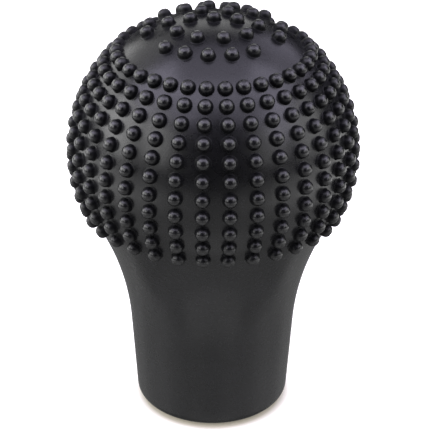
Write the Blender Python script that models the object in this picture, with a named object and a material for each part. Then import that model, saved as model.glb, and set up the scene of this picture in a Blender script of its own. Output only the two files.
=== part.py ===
"""Friction ball for turning watch case backs by hand: a studded silicone sleeve over a bolted two-part core.

The object stands on its neck's rim. The origin is the centre of that rim, +Z is the axis of symmetry, and
-Y is the front, midway between two columns of studs. Sizes are in metres.
"""

import math

import bmesh
import bpy
from mathutils import Matrix, Vector

MM = 0.001

# Silicone sleeve, outside
BALL_R = 28.2 * MM
BALL_Z = 57.3 * MM
NECK_BASE_R = 16.1 * MM
NECK_TAPER = math.radians(3.7)
FLARE_R = 60.0 * MM
RIM_EDGE_R = 2.1 * MM

# Studs on the ball
COLUMNS = 34
ROWS = 11
TOP_ROW_LATITUDE = math.radians(47.9)
ROW_STEP = math.radians(7.2)
STUD_R = 1.4 * MM
STUD_TIP_R = 0.95 * MM
STUD_HEIGHT = 1.7 * MM
STUD_ROOT = 0.8 * MM
STUD_SIDES = 6
FIRST_INSET = 0.1 * MM

# Crown of studs, in degrees: each run's angle from the pole, the azimuth of its first stud from the front, the
# step to the next, and how many studs it has
CROWN_RUNS = (
    (2.8, -3.0, 0.0, 1),
    (7.5, 130.0, 90.0, 2),
    (9.6, -78.0, 149.0, 2),
    (18.2, -87.4, 32.7, 6),
    (18.2, 120.1, 32.7, 4),
    (27.3, -46.0, 20.0, 5),
    (27.3, 74.0, 20.0, 2),
    (27.3, 128.0, 20.0, 6),
    (27.3, -106.0, 20.0, 2),
)

# Walls and gaps
SLEEVE_WALL = 2.0 * MM
CORE_WALL = 2.2 * MM
GAP = 0.3 * MM
LIP_THICKNESS = 2.0 * MM
LIP_INNER_R = 12.6 * MM

# Core joint at the ball's equator
TONGUE_THICKNESS = 0.8 * MM
TONGUE_HEIGHT = 1.8 * MM

# Tie screw line
FLOOR_Z = 28.0 * MM
FLOOR_THICKNESS = 3.0 * MM
SCREW_HOLE_R = 2.8 * MM
BOSS_R = 6.0 * MM
INSERT_R = 3.5 * MM
INSERT_LENGTH = 9.0 * MM
INSERT_WAIST_DEPTH = 0.35 * MM
SCREW_R = 2.4 * MM
SCREW_LENGTH = 16.0 * MM
SCREW_HEAD_R = 4.25 * MM
SCREW_HEAD_HEIGHT = 5.0 * MM
SCREW_SOCKET_R = 2.3 * MM
SCREW_SOCKET_DEPTH = 2.5 * MM
SCREW_CHAMFER = 0.4 * MM
WASHER_R = 5.0 * MM
WASHER_BORE_R = 2.75 * MM
WASHER_THICKNESS = 1.0 * MM

# Base plug
PLUG_FLANGE_R = LIP_INNER_R - GAP
PLUG_FLANGE_THICKNESS = 2.0 * MM
PLUG_FLOOR_THICKNESS = 2.4 * MM
PLUG_TOP_Z = 10.0 * MM
PLUG_WALL = 1.6 * MM
PLUG_EDGE = 0.3 * MM
PLUG_LEAD_IN = 0.8 * MM
RING_SECTION_R = 0.9 * MM
RING_Z = 6.2 * MM
PRY_SLOT = (14.0 * MM, 1.8 * MM, 1.0 * MM)

SEGMENTS_CORE = 28
SEGMENTS_SMALL = 24
FLAT_ANGLE = math.radians(35)

MATERIALS = {
    "black_silicone": ((0.026, 0.026, 0.028), 0.48, 0.0),
    "core_plastic": ((0.09, 0.09, 0.095), 0.55, 0.0),
    "plug_plastic": ((0.03, 0.03, 0.032), 0.42, 0.0),
    "brass": ((0.72, 0.53, 0.24), 0.35, 1.0),
    "steel": ((0.55, 0.55, 0.57), 0.3, 1.0),
    "ring_rubber": ((0.02, 0.02, 0.02), 0.6, 0.0),
}


def clear_scene():
    for obj in list(bpy.data.objects):
        bpy.data.objects.remove(obj, do_unlink=True)


def material(name):
    colour, roughness, metallic = MATERIALS[name]
    made = bpy.data.materials.get(name) or bpy.data.materials.new(name)
    made.use_nodes = True
    shader = made.node_tree.nodes["Principled BSDF"]
    shader.inputs["Base Color"].default_value = (*colour, 1.0)
    shader.inputs["Roughness"].default_value = roughness
    shader.inputs["Metallic"].default_value = metallic
    return made


def object_from(name, bm, material_name, parent=None):
    """A scene object from a bmesh, shaded smooth except across its corners."""
    bmesh.ops.recalc_face_normals(bm, faces=bm.faces)
    mesh = bpy.data.meshes.new(name)
    bm.to_mesh(mesh)
    bm.free()
    mesh.shade_smooth()
    mesh.set_sharp_from_angle(angle=FLAT_ANGLE)
    mesh.materials.append(material(material_name))
    obj = bpy.data.objects.new(name, mesh)
    obj.parent = parent
    bpy.context.collection.objects.link(obj)
    return obj


def arc(centre_r, centre_z, radius, start, end, steps):
    """Points of a profile arc from one angle to another, both included."""
    points = []
    for i in range(steps + 1):
        angle = start + (end - start) * i / steps
        points.append((centre_r + radius * math.cos(angle), centre_z + radius * math.sin(angle)))
    return points


def turned(profile, segments):
    """A closed ring of faces: the profile, a closed loop of (radius, height), spun round +Z."""
    bm = bmesh.new()
    step = math.tau / segments
    rings = []
    for radius, height in profile:
        ring = []
        for i in range(segments):
            angle = step * i
            ring.append(bm.verts.new((radius * math.cos(angle), radius * math.sin(angle), height)))
        rings.append(ring)
    for lower, upper in zip(rings, rings[1:] + rings[:1]):
        for i in range(segments):
            j = (i + 1) % segments
            bm.faces.new((lower[i], lower[j], upper[j], upper[i]))
    return bm


def turned_solid(profile, segments):
    """A body with no bore: an open profile whose two ends lie on the axis."""
    bm = bmesh.new()
    step = math.tau / segments
    bottom = bm.verts.new((0.0, 0.0, profile[0][1]))
    top = bm.verts.new((0.0, 0.0, profile[-1][1]))
    rings = []
    for radius, height in profile[1:-1]:
        ring = []
        for i in range(segments):
            angle = step * i
            ring.append(bm.verts.new((radius * math.cos(angle), radius * math.sin(angle), height)))
        rings.append(ring)
    for lower, upper in zip(rings, rings[1:]):
        for i in range(segments):
            j = (i + 1) % segments
            bm.faces.new((lower[i], lower[j], upper[j], upper[i]))
    for i in range(segments):
        j = (i + 1) % segments
        bm.faces.new((bottom, rings[0][j], rings[0][i]))
        bm.faces.new((top, rings[-1][i], rings[-1][j]))
    return bm


class Outline:
    """The sleeve's outer outline: ball, flare and tapering neck, and surfaces at a set depth below it."""

    def __init__(self):
        along = Vector((math.sin(NECK_TAPER), math.cos(NECK_TAPER)))
        outward = Vector((math.cos(NECK_TAPER), -math.sin(NECK_TAPER)))
        ball = Vector((0.0, BALL_Z))
        start = Vector((NECK_BASE_R, 0.0)) + FLARE_R * outward
        # The flare's centre lies FLARE_R off the neck's line and BALL_R + FLARE_R from the ball's centre
        offset = start - ball
        half = offset.dot(along)
        reach = (BALL_R + FLARE_R) ** 2
        travel = -half - math.sqrt(half * half - offset.length_squared + reach)
        self.flare_centre = start + travel * along
        to_flare = (self.flare_centre - ball).normalized()
        self.ball_latitude = math.atan2(to_flare.y, to_flare.x)
        self.neck_angle = math.pi - NECK_TAPER
        self.ball_angle = math.pi + self.ball_latitude

    def neck_radius(self, height, depth=0.0):
        return NECK_BASE_R + height * math.tan(NECK_TAPER) - depth / math.cos(NECK_TAPER)

    def flare(self, depth, steps):
        """Points down the flare, from the ball to the neck."""
        centre = self.flare_centre
        return arc(centre.x, centre.y, FLARE_R + depth, self.ball_angle, self.neck_angle, steps)

    def ball(self, depth, high, low, steps):
        """Points down the ball between two latitudes."""
        return arc(0.0, BALL_Z, BALL_R - depth, high, low, steps)


def add_ring(bm, radius, height):
    """One ring of the sleeve's grid, with its seams midway between columns of studs."""
    ring = []
    for i in range(COLUMNS):
        angle = math.tau * i / COLUMNS - math.pi / 2
        ring.append(bm.verts.new((radius * math.cos(angle), radius * math.sin(angle), height)))
    return ring


def join_rings(bm, upper, lower):
    faces = []
    for i in range(COLUMNS):
        j = (i + 1) % COLUMNS
        faces.append(bm.faces.new((upper[i], lower[i], lower[j], upper[j])))
    return faces


def cap(bm, ring, height):
    pole = bm.verts.new((0.0, 0.0, height))
    for i in range(COLUMNS):
        bm.faces.new((pole, ring[i], ring[(i + 1) % COLUMNS]))


def raise_studs(bm, faces):
    """Insets each face of the grid to a stud's foot and lifts it to a slightly smaller tip."""
    for face in faces:
        centre = face.calc_center_median()
        normal = (centre - Vector((0.0, 0.0, BALL_Z))).normalized()
        side = Vector((0.0, 0.0, 1.0)).cross(normal).normalized()
        rise = normal.cross(side)
        bmesh.ops.inset_individual(bm, faces=[face], thickness=FIRST_INSET)
        feet = list(face.verts)
        tip = bmesh.ops.extrude_discrete_faces(bm, faces=[face])["faces"][0]
        place_square(feet, centre, side, rise, normal, STUD_R, 0.0)
        place_square(list(tip.verts), centre, side, rise, normal, STUD_TIP_R, STUD_HEIGHT)


def place_square(verts, centre, side, rise, normal, radius, height):
    """Moves four vertices to a square's corners, each to the corner in its own quadrant."""
    for vertex in verts:
        away = vertex.co - centre
        across = math.copysign(radius * math.sqrt(0.5), away.dot(side))
        along = math.copysign(radius * math.sqrt(0.5), away.dot(rise))
        vertex.co = centre + across * side + along * rise + height * normal


def sleeve_outer(bm, outline):
    """The studded ball and smooth neck, top to bottom, and its last ring at the rim's flat."""
    top_edge = TOP_ROW_LATITUDE + ROW_STEP / 2
    low_edge = top_edge - ROWS * ROW_STEP
    points = outline.ball(0.0, math.radians(82), top_edge, 4)
    studded_from = len(points) - 1
    points += outline.ball(0.0, top_edge, low_edge, ROWS)[1:]
    points += outline.flare(0.0, 6)
    corner_z = RIM_EDGE_R * (1.0 + math.sin(NECK_TAPER))
    corner_r = outline.neck_radius(corner_z) - RIM_EDGE_R / math.cos(NECK_TAPER)
    points += arc(corner_r, RIM_EDGE_R, RIM_EDGE_R, -NECK_TAPER, -math.pi / 2, 4)
    rings = [add_ring(bm, *point) for point in points]
    cap(bm, rings[0], BALL_Z + BALL_R)
    studded = []
    for index, (upper, lower) in enumerate(zip(rings, rings[1:])):
        faces = join_rings(bm, upper, lower)
        if studded_from <= index < studded_from + ROWS:
            studded += faces
    raise_studs(bm, studded)
    return rings[-1]


def sleeve_inner(bm, outline, rim_ring):
    """The lip under the core's end, and the hollow that the core fills."""
    seat_r = outline.neck_radius(LIP_THICKNESS, SLEEVE_WALL)
    points = [(LIP_INNER_R, 0.0), (LIP_INNER_R, LIP_THICKNESS), (seat_r, LIP_THICKNESS)]
    points += outline.flare(SLEEVE_WALL, 5)[::-1]
    points += outline.ball(SLEEVE_WALL, outline.ball_latitude, math.radians(80), 9)[1:]
    ring = rim_ring
    for point in points:
        following = add_ring(bm, *point)
        join_rings(bm, ring, following)
        ring = following
    cap(bm, ring, BALL_Z + BALL_R - SLEEVE_WALL)


def crown_places():
    """Directions from the ball's centre to each stud of the crown."""
    for from_pole, first, step, count in CROWN_RUNS:
        tilt = Matrix.Rotation(math.radians(from_pole), 3, "X")
        for place in range(count):
            turn = Matrix.Rotation(math.radians(first + step * place), 3, "Z")
            yield turn @ tilt @ Vector((0.0, 0.0, 1.0))


def crown_studs():
    """All the crown's studs as one guide mesh, rooted in the sleeve's wall."""
    bm = bmesh.new()
    for direction in crown_places():
        foot = (BALL_R - STUD_ROOT) * direction
        middle = Vector((0.0, 0.0, BALL_Z)) + foot + 0.5 * (STUD_HEIGHT + STUD_ROOT) * direction
        turn = direction.to_track_quat("Z", "Y").to_matrix().to_4x4()
        bmesh.ops.create_cone(
            bm,
            cap_ends=True,
            segments=STUD_SIDES,
            radius1=STUD_R,
            radius2=STUD_TIP_R,
            depth=STUD_HEIGHT + STUD_ROOT,
            matrix=Matrix.Translation(middle) @ turn,
        )
    guide = object_from("crown_stud_guide", bm, "black_silicone")
    guide.hide_render = True
    guide.display_type = "WIRE"
    return guide


def friction_sleeve(outline, parent):
    bm = bmesh.new()
    rim_ring = sleeve_outer(bm, outline)
    sleeve_inner(bm, outline, rim_ring)
    sleeve = object_from("friction_sleeve", bm, "black_silicone", parent)
    crown = sleeve.modifiers.new("crown", "BOOLEAN")
    crown.operation = "UNION"
    crown.solver = "EXACT"
    crown.object = crown_studs()
    return sleeve


def upper_core_shell(parent):
    """Dome with a rebate round its rim and a long boss that reaches down to the lower shell's floor."""
    depth = SLEEVE_WALL + GAP
    outer_r = BALL_R - depth
    inner_r = outer_r - CORE_WALL
    rebate_r = inner_r + TONGUE_THICKNESS + GAP
    rebate_z = BALL_Z + TONGUE_HEIGHT + GAP
    foot_z = BALL_Z + GAP / 2
    boss_foot = FLOOR_Z + FLOOR_THICKNESS + GAP
    pocket_r = INSERT_R + GAP
    pocket_top = boss_foot + INSERT_LENGTH + GAP
    bore_top = boss_foot + SCREW_LENGTH
    start = math.asin((rebate_z - BALL_Z) / inner_r)
    boss_at = math.acos(BOSS_R / inner_r)
    profile = [(0.0, BALL_Z + outer_r)]
    profile += arc(0.0, BALL_Z, outer_r, math.radians(80), math.asin(GAP / 2 / outer_r), 9)
    profile += [(rebate_r, foot_z), (rebate_r, rebate_z)]
    profile += arc(0.0, BALL_Z, inner_r, start, boss_at, 8)
    profile += [(BOSS_R, boss_foot), (pocket_r, boss_foot)]
    profile += [(pocket_r, pocket_top), (SCREW_HOLE_R, pocket_top)]
    profile += [(SCREW_HOLE_R, bore_top), (0.0, bore_top)]
    bm = turned_solid(profile[::-1], SEGMENTS_CORE)
    return object_from("upper_core_shell", bm, "core_plastic", parent)


def lower_core_shell(outline, parent):
    """Lower half of the ball and the neck's tube, with a tongue at the top and a floor for the screw."""
    depth = SLEEVE_WALL + GAP
    inner_depth = depth + CORE_WALL
    inner_r = BALL_R - inner_depth
    top_z = BALL_Z - GAP / 2
    foot_z = LIP_THICKNESS + GAP
    floor_top = FLOOR_Z + FLOOR_THICKNESS
    wall_foot = outline.neck_radius(FLOOR_Z, inner_depth)
    profile = outline.ball(depth, math.asin(-GAP / 2 / (BALL_R - depth)), outline.ball_latitude, 5)
    profile += outline.flare(depth, 5)[1:]
    profile += [(outline.neck_radius(foot_z, depth), foot_z)]
    profile += [(outline.neck_radius(foot_z, inner_depth), foot_z)]
    profile += [(wall_foot, FLOOR_Z), (SCREW_HOLE_R, FLOOR_Z), (SCREW_HOLE_R, floor_top)]
    inside = [point for point in outline.flare(inner_depth, 8) if point[1] > floor_top + MM]
    profile += [(inside[-1][0], floor_top)]
    profile += inside[::-1]
    profile += outline.ball(inner_depth, outline.ball_latitude, 0.0, 5)[1:-1]
    profile += [(inner_r, top_z), (inner_r, BALL_Z + TONGUE_HEIGHT)]
    profile += [(inner_r + TONGUE_THICKNESS, BALL_Z + TONGUE_HEIGHT), (inner_r + TONGUE_THICKNESS, top_z)]
    bm = turned(profile, SEGMENTS_CORE)
    return object_from("lower_core_shell", bm, "core_plastic", parent)


def threaded_insert(parent):
    """Brass insert, flush with the boss's foot, with two grip bands and a waist between them."""
    foot_z = FLOOR_Z + FLOOR_THICKNESS + GAP
    top_z = foot_z + INSERT_LENGTH
    waist_r = INSERT_R - INSERT_WAIST_DEPTH
    bore_r = SCREW_R + GAP
    band = 0.4 * INSERT_LENGTH
    bevel = INSERT_WAIST_DEPTH
    profile = [(bore_r, foot_z), (INSERT_R, foot_z), (INSERT_R, foot_z + band)]
    profile += [(waist_r, foot_z + band + bevel), (waist_r, top_z - band - bevel)]
    profile += [(INSERT_R, top_z - band), (INSERT_R, top_z - bevel), (waist_r, top_z), (bore_r, top_z)]
    return object_from("threaded_insert", turned(profile, SEGMENTS_SMALL), "brass", parent)


def tie_screw(parent):
    """Socket head screw, head down: the key reaches it through the neck."""
    head_top = FLOOR_Z - WASHER_THICKNESS - 2 * GAP
    head_foot = head_top - SCREW_HEAD_HEIGHT
    tip = head_top + SCREW_LENGTH
    chamfer = SCREW_CHAMFER
    profile = [(0.0, head_foot), (SCREW_HEAD_R - chamfer, head_foot), (SCREW_HEAD_R, head_foot + chamfer)]
    profile += [(SCREW_HEAD_R, head_top), (SCREW_R, head_top), (SCREW_R, tip - chamfer)]
    profile += [(SCREW_R - chamfer, tip), (0.0, tip)]
    screw = object_from("tie_screw", turned_solid(profile, SEGMENTS_SMALL), "steel", parent)
    cutter = bmesh.new()
    bmesh.ops.create_cone(
        cutter,
        cap_ends=True,
        segments=6,
        radius1=SCREW_SOCKET_R,
        radius2=SCREW_SOCKET_R,
        depth=2 * SCREW_SOCKET_DEPTH,
        matrix=Matrix.Translation((0.0, 0.0, head_foot)),
    )
    cut(screw, object_from("screw_socket_guide", cutter, "steel"))
    return screw


def tie_screw_washer(parent):
    top_z = FLOOR_Z - GAP
    foot_z = top_z - WASHER_THICKNESS
    profile = [(WASHER_BORE_R, foot_z), (WASHER_R, foot_z), (WASHER_R, top_z), (WASHER_BORE_R, top_z)]
    return object_from("tie_screw_washer", turned(profile, SEGMENTS_SMALL), "steel", parent)


def cut(target, cutter):
    cutter.hide_render = True
    cutter.display_type = "WIRE"
    modifier = target.modifiers.new(cutter.name, "BOOLEAN")
    modifier.operation = "DIFFERENCE"
    modifier.solver = "EXACT"
    modifier.object = cutter


def plug_spigot_radius(outline):
    return outline.neck_radius(LIP_THICKNESS, SLEEVE_WALL + GAP + CORE_WALL) - GAP


def base_plug(outline, parent):
    """Cup with a flange below, a ring groove round its spigot and a coin slot in its face."""
    spigot_r = plug_spigot_radius(outline)
    groove_r = spigot_r - RING_SECTION_R * 2
    groove_half = RING_SECTION_R + GAP
    inner_r = groove_r - PLUG_WALL
    floor_z = PLUG_FLOOR_THICKNESS
    edge = PLUG_EDGE
    lead_in = PLUG_LEAD_IN
    profile = [(0.0, 0.0), (PLUG_FLANGE_R - edge, 0.0), (PLUG_FLANGE_R, edge)]
    profile += [(PLUG_FLANGE_R, PLUG_FLANGE_THICKNESS), (spigot_r, PLUG_FLANGE_THICKNESS)]
    profile += [(spigot_r, RING_Z - groove_half), (groove_r, RING_Z - groove_half)]
    profile += [(groove_r, RING_Z + groove_half), (spigot_r, RING_Z + groove_half)]
    profile += [(spigot_r, PLUG_TOP_Z - lead_in), (spigot_r - lead_in, PLUG_TOP_Z)]
    profile += [(inner_r, PLUG_TOP_Z), (inner_r, floor_z), (0.0, floor_z)]
    plug = object_from("base_plug", turned_solid(profile, SEGMENTS_CORE), "plug_plastic", parent)
    cutter = bmesh.new()
    length, width, depth = PRY_SLOT
    scale = Matrix.Diagonal((length, width, 2 * depth, 1.0))
    bmesh.ops.create_cube(cutter, size=1.0, matrix=scale)
    cut(plug, object_from("pry_slot_guide", cutter, "plug_plastic"))
    return plug


def plug_o_ring(outline, parent):
    centre_r = plug_spigot_radius(outline) - RING_SECTION_R
    profile = arc(centre_r, RING_Z, RING_SECTION_R, 0.0, math.tau, 8)[:-1]
    return object_from("plug_o_ring", turned(profile, SEGMENTS_CORE), "ring_rubber", parent)


def empty(name):
    made = bpy.data.objects.new(name, None)
    bpy.context.collection.objects.link(made)
    return made


def main():
    clear_scene()
    outline = Outline()
    tool = empty("tool")
    plug_slide = empty("plug_slide")
    plug_slide.parent = tool
    friction_sleeve(outline, tool)
    upper_core_shell(tool)
    lower_core_shell(outline, tool)
    threaded_insert(tool)
    tie_screw(tool)
    tie_screw_washer(tool)
    base_plug(outline, plug_slide)
    plug_o_ring(outline, plug_slide)


main()
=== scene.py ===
"""Looks of a friction ball for watch case backs: a studded silicone sleeve over a bolted two-part core.

The frame is the CAD model's: the origin is the centre of the neck's rim, +Z is the axis of symmetry and -Y is
the front, midway between two columns of studs. Sizes are in metres.
"""

import math

import bmesh
import bpy
from mathutils import Matrix, Vector
from mathutils.geometry import delaunay_2d_cdt


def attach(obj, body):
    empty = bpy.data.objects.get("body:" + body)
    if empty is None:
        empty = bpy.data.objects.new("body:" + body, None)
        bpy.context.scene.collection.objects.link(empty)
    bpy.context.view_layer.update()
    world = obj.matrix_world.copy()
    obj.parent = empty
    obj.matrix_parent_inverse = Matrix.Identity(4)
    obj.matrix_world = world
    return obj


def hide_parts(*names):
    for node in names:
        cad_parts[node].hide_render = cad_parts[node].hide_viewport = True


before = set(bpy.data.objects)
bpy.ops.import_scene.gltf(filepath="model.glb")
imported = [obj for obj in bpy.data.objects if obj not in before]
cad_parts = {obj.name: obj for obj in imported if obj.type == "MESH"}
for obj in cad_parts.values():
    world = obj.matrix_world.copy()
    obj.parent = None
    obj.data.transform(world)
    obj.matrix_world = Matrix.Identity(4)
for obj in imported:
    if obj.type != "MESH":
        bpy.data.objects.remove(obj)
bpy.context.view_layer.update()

MM = 0.001
UP = Vector((0.0, 0.0, 1.0))
# Lengths and angles below this count as nothing
TINY = 1e-6

# Sleeve outline, as in the CAD model
BALL_R = 28.2 * MM
BALL_Z = 57.3 * MM
BALL_CENTRE = Vector((0.0, 0.0, BALL_Z))
NECK_BASE_R = 16.1 * MM
NECK_TAPER = math.radians(3.7)
FLARE_R = 60.0 * MM
RIM_EDGE_R = 2.1 * MM
SLEEVE_WALL = 2.0 * MM
LIP_THICKNESS = 2.0 * MM
LIP_INNER_R = 12.6 * MM
LIP_ROUND = 0.5 * MM

# Grid of studs on the ball, one to a cell
COLUMNS = 34
ROWS = 11
COLUMN_STEP = math.tau / COLUMNS
ROW_STEP = math.radians(7.2)
TOP_ROW_LATITUDE = math.radians(47.9)
TOP_EDGE = TOP_ROW_LATITUDE + ROW_STEP / 2
LOW_EDGE = TOP_EDGE - ROWS * ROW_STEP
# Each side of a cell is this many edges long
CELL_SIDE = 4
RING_COUNT = COLUMNS * CELL_SIDE

# One stud
STUD_R = 1.4 * MM
STUD_HEIGHT = 1.7 * MM
STUD_FILLET = 0.22 * MM
STUD_FOOT_R = STUD_R + STUD_FILLET
STUD_SHOULDER = 0.45 * MM
STUD_SIDES = 4 * CELL_SIDE
# The dome is an ellipse at 1, and fuller below that
DOME_FULLNESS = 0.8
FILLET_STEPS = 2
DOME_STEPS = 4

# Crown, in degrees: each run's angle from the pole, the azimuth of its first stud from the front, the step to
# the next, and how many studs it has
CROWN_RUNS = (
    (2.8, -3.0, 0.0, 1),
    (7.5, 130.0, 90.0, 2),
    (9.6, -78.0, 149.0, 2),
    (18.2, -87.4, 32.7, 6),
    (18.2, 120.1, 32.7, 4),
    (27.3, -46.0, 20.0, 5),
    (27.3, 74.0, 20.0, 2),
    (27.3, 128.0, 20.0, 6),
    (27.3, -106.0, 20.0, 2),
)
# Lattice of vertices in the skin between the crown's studs
FILL_SPACING = 1.25 * MM
FILL_TO_EDGE = 0.5 * FILL_SPACING
FILL_TO_FOOT = 0.55 * FILL_SPACING
TRIANGULATION_TOLERANCE = 1e-5
SKIN_TOLERANCE = 0.001 * MM
SHARP_ANGLE = math.radians(50)

# Steps along each stretch of the sleeve's outline, and of its inside
BALL_FOOT_STEPS = 2
FLARE_STEPS = 20
NECK_STEPS = 9
RIM_STEPS = 9
LIP_STEPS = 4
INSIDE_FLARE_STEPS = 12
INSIDE_BALL_STEPS = 30
INSIDE_BALL_END = math.radians(86)

# Core, tie screw line and plug, as in the CAD model
CORE_WALL = 2.2 * MM
GAP = 0.3 * MM
TONGUE_THICKNESS = 0.8 * MM
TONGUE_HEIGHT = 1.8 * MM
FLOOR_Z = 28.0 * MM
FLOOR_THICKNESS = 3.0 * MM
SCREW_HOLE_R = 2.8 * MM
BOSS_R = 6.0 * MM
INSERT_R = 3.5 * MM
INSERT_LENGTH = 9.0 * MM
SCREW_R = 2.4 * MM
SCREW_LENGTH = 16.0 * MM
SCREW_HEAD_R = 4.25 * MM
SCREW_HEAD_HEIGHT = 5.0 * MM
SCREW_SOCKET_R = 2.3 * MM
SCREW_SOCKET_DEPTH = 2.5 * MM
WASHER_R = 5.0 * MM
WASHER_BORE_R = 2.75 * MM
WASHER_THICKNESS = 1.0 * MM
PLUG_FLANGE_R = LIP_INNER_R - GAP
PLUG_FLANGE_THICKNESS = 2.0 * MM
PLUG_FLOOR_THICKNESS = 2.4 * MM
PLUG_TOP_Z = 10.0 * MM
PLUG_WALL = 1.6 * MM
PLUG_LEAD_IN = 0.8 * MM
RING_SECTION_R = 0.9 * MM
RING_Z = 6.2 * MM
PRY_SLOT = (14.0 * MM, 1.8 * MM, 1.0 * MM)

# Detail of the turned and moulded pieces
EDGE = 0.25 * MM
ROUND_STEPS = 3
TURNED_SIDES = 112
SMALL_SIDES = 72
SHELL_STEPS = 40
SHELL_INSIDE_STEPS = 30
SHELL_BALL_STEPS = 12
SHELL_FLARE_STEPS = 16
SHELL_INSIDE_FLARE_STEPS = 24
RING_SECTION_STEPS = 24
SLOT_END_STEPS = 12
# Angles that the core's arcs stop short by, to leave room for the rounded corners at their ends
DOME_FOOT_ROOM = 0.01
BOSS_ROOM = 0.05
LOWER_TOP_ROOM = 0.03

# Thread and knurls
THREAD_PITCH = 0.8 * MM
THREAD_DEPTH = 0.42 * MM
THREAD_STEPS = 8
THREAD_FLANK = 2.6
KNURL_TEETH = 36
KNURL_DEPTH = 0.14 * MM
# A diamond knurl's grooves shift by this many teeth along the insert
KNURL_LEAN = 5.0
KNURL_BAND = 0.4 * INSERT_LENGTH


# ---------------------------------------------------------------- outline


def arc(centre_r, centre_z, radius, start, end, steps):
    points = []
    for i in range(steps + 1):
        angle = start + (end - start) * i / steps
        points.append((centre_r + radius * math.cos(angle), centre_z + radius * math.sin(angle)))
    return points


class Outline:
    """The sleeve's outer outline: ball, flare and tapering neck, and surfaces at a set depth below it."""

    def __init__(self):
        along = Vector((math.sin(NECK_TAPER), math.cos(NECK_TAPER)))
        outward = Vector((math.cos(NECK_TAPER), -math.sin(NECK_TAPER)))
        ball = Vector((0.0, BALL_Z))
        start = Vector((NECK_BASE_R, 0.0)) + FLARE_R * outward
        offset = start - ball
        half = offset.dot(along)
        reach = (BALL_R + FLARE_R) ** 2
        travel = -half - math.sqrt(half * half - offset.length_squared + reach)
        self.flare_centre = start + travel * along
        to_flare = (self.flare_centre - ball).normalized()
        self.ball_latitude = math.atan2(to_flare.y, to_flare.x)
        self.neck_angle = math.pi - NECK_TAPER
        self.ball_angle = math.pi + self.ball_latitude

    def neck_radius(self, height, depth=0.0):
        return NECK_BASE_R + height * math.tan(NECK_TAPER) - depth / math.cos(NECK_TAPER)

    def flare(self, depth, steps):
        centre = self.flare_centre
        return arc(centre.x, centre.y, FLARE_R + depth, self.ball_angle, self.neck_angle, steps)

    def ball(self, depth, high, low, steps):
        return arc(0.0, BALL_Z, BALL_R - depth, high, low, steps)


# ---------------------------------------------------------------- studs


def direction(azimuth, latitude):
    """Unit vector at an azimuth from the front, positive towards +X, and a latitude."""
    flat = math.cos(latitude)
    return Vector((flat * math.sin(azimuth), -flat * math.cos(azimuth), math.sin(latitude)))


def stud_profile():
    """(radius, height above the skin) up one stud: foot fillet, side and domed tip, without its apex."""
    points = []
    for i in range(FILLET_STEPS + 1):
        angle = math.pi / 2 * i / FILLET_STEPS
        points.append((STUD_FOOT_R - STUD_FILLET * math.sin(angle), STUD_FILLET * (1 - math.cos(angle))))
    rise = STUD_HEIGHT - STUD_SHOULDER
    for i in range(DOME_STEPS):
        angle = math.pi / 2 * i / DOME_STEPS
        points.append((STUD_R * math.cos(angle) ** DOME_FULLNESS, STUD_SHOULDER + rise * math.sin(angle)))
    return points


def stud_ring(bm, axis, radius, height):
    """One ring of a stud, that far above the ball's skin, anticlockwise from the stud's right."""
    side = UP.cross(axis)
    side = side.normalized() if side.length > TINY else Vector((1.0, 0.0, 0.0))
    rise = axis.cross(side)
    up = (math.sqrt(BALL_R * BALL_R - radius * radius) + height) * axis
    ring = []
    for k in range(STUD_SIDES):
        angle = math.tau * k / STUD_SIDES
        across = radius * (math.cos(angle) * side + math.sin(angle) * rise)
        ring.append(bm.verts.new(BALL_CENTRE + across + up))
    return ring


def foot_ring(bm, axis):
    return stud_ring(bm, axis, STUD_FOOT_R, 0.0)


def raise_stud(bm, axis, foot):
    """The stud's mesh above its foot ring."""
    lower = foot
    for radius, height in stud_profile()[1:]:
        ring = stud_ring(bm, axis, radius, height)
        for k in range(STUD_SIDES):
            j = (k + 1) % STUD_SIDES
            bm.faces.new((lower[k], lower[j], ring[j], ring[k]))
        lower = ring
    apex = bm.verts.new(BALL_CENTRE + (BALL_R + STUD_HEIGHT) * axis)
    for k in range(STUD_SIDES):
        bm.faces.new((lower[k], lower[(k + 1) % STUD_SIDES], apex))


# ---------------------------------------------------------------- sleeve mesh


def grid_ring(bm, radius, height):
    """One ring round the axis, with a vertex on each seam between columns of studs."""
    ring = []
    for i in range(RING_COUNT):
        azimuth = math.tau * i / RING_COUNT
        ring.append(bm.verts.new((radius * math.sin(azimuth), -radius * math.cos(azimuth), height)))
    return ring


def join_rings(bm, upper, lower):
    for i in range(len(upper)):
        j = (i + 1) % len(upper)
        bm.faces.new((upper[i], lower[i], lower[j], upper[j]))


def cell_seam(bm, row, column):
    """The vertices down a cell's left side, between its corners."""
    seam = []
    for i in range(1, CELL_SIDE):
        latitude = TOP_EDGE - (row + i / CELL_SIDE) * ROW_STEP
        seam.append(bm.verts.new(BALL_CENTRE + BALL_R * direction(column * COLUMN_STEP, latitude)))
    return seam


def cell_edge(upper, lower, left, right, column):
    """A cell's edge, anticlockwise from its lower right corner, seen from outside."""
    first, last = column * CELL_SIDE, (column + 1) * CELL_SIDE
    edge = [lower[last % RING_COUNT]] + right[::-1] + [upper[last % RING_COUNT]]
    edge += [upper[i] for i in range(last - 1, first, -1)]
    edge += [upper[first]] + left + [lower[first]]
    edge += [lower[i] for i in range(first + 1, last)]
    return edge


def join_foot(bm, edge, foot):
    """The skin between a cell's edge and its stud's foot, which starts an eighth of a turn after the edge."""
    turn = STUD_SIDES // 8
    for k in range(STUD_SIDES):
        j = (k + 1) % STUD_SIDES
        bm.faces.new((edge[k], edge[j], foot[(j - turn) % STUD_SIDES], foot[(k - turn) % STUD_SIDES]))


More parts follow.
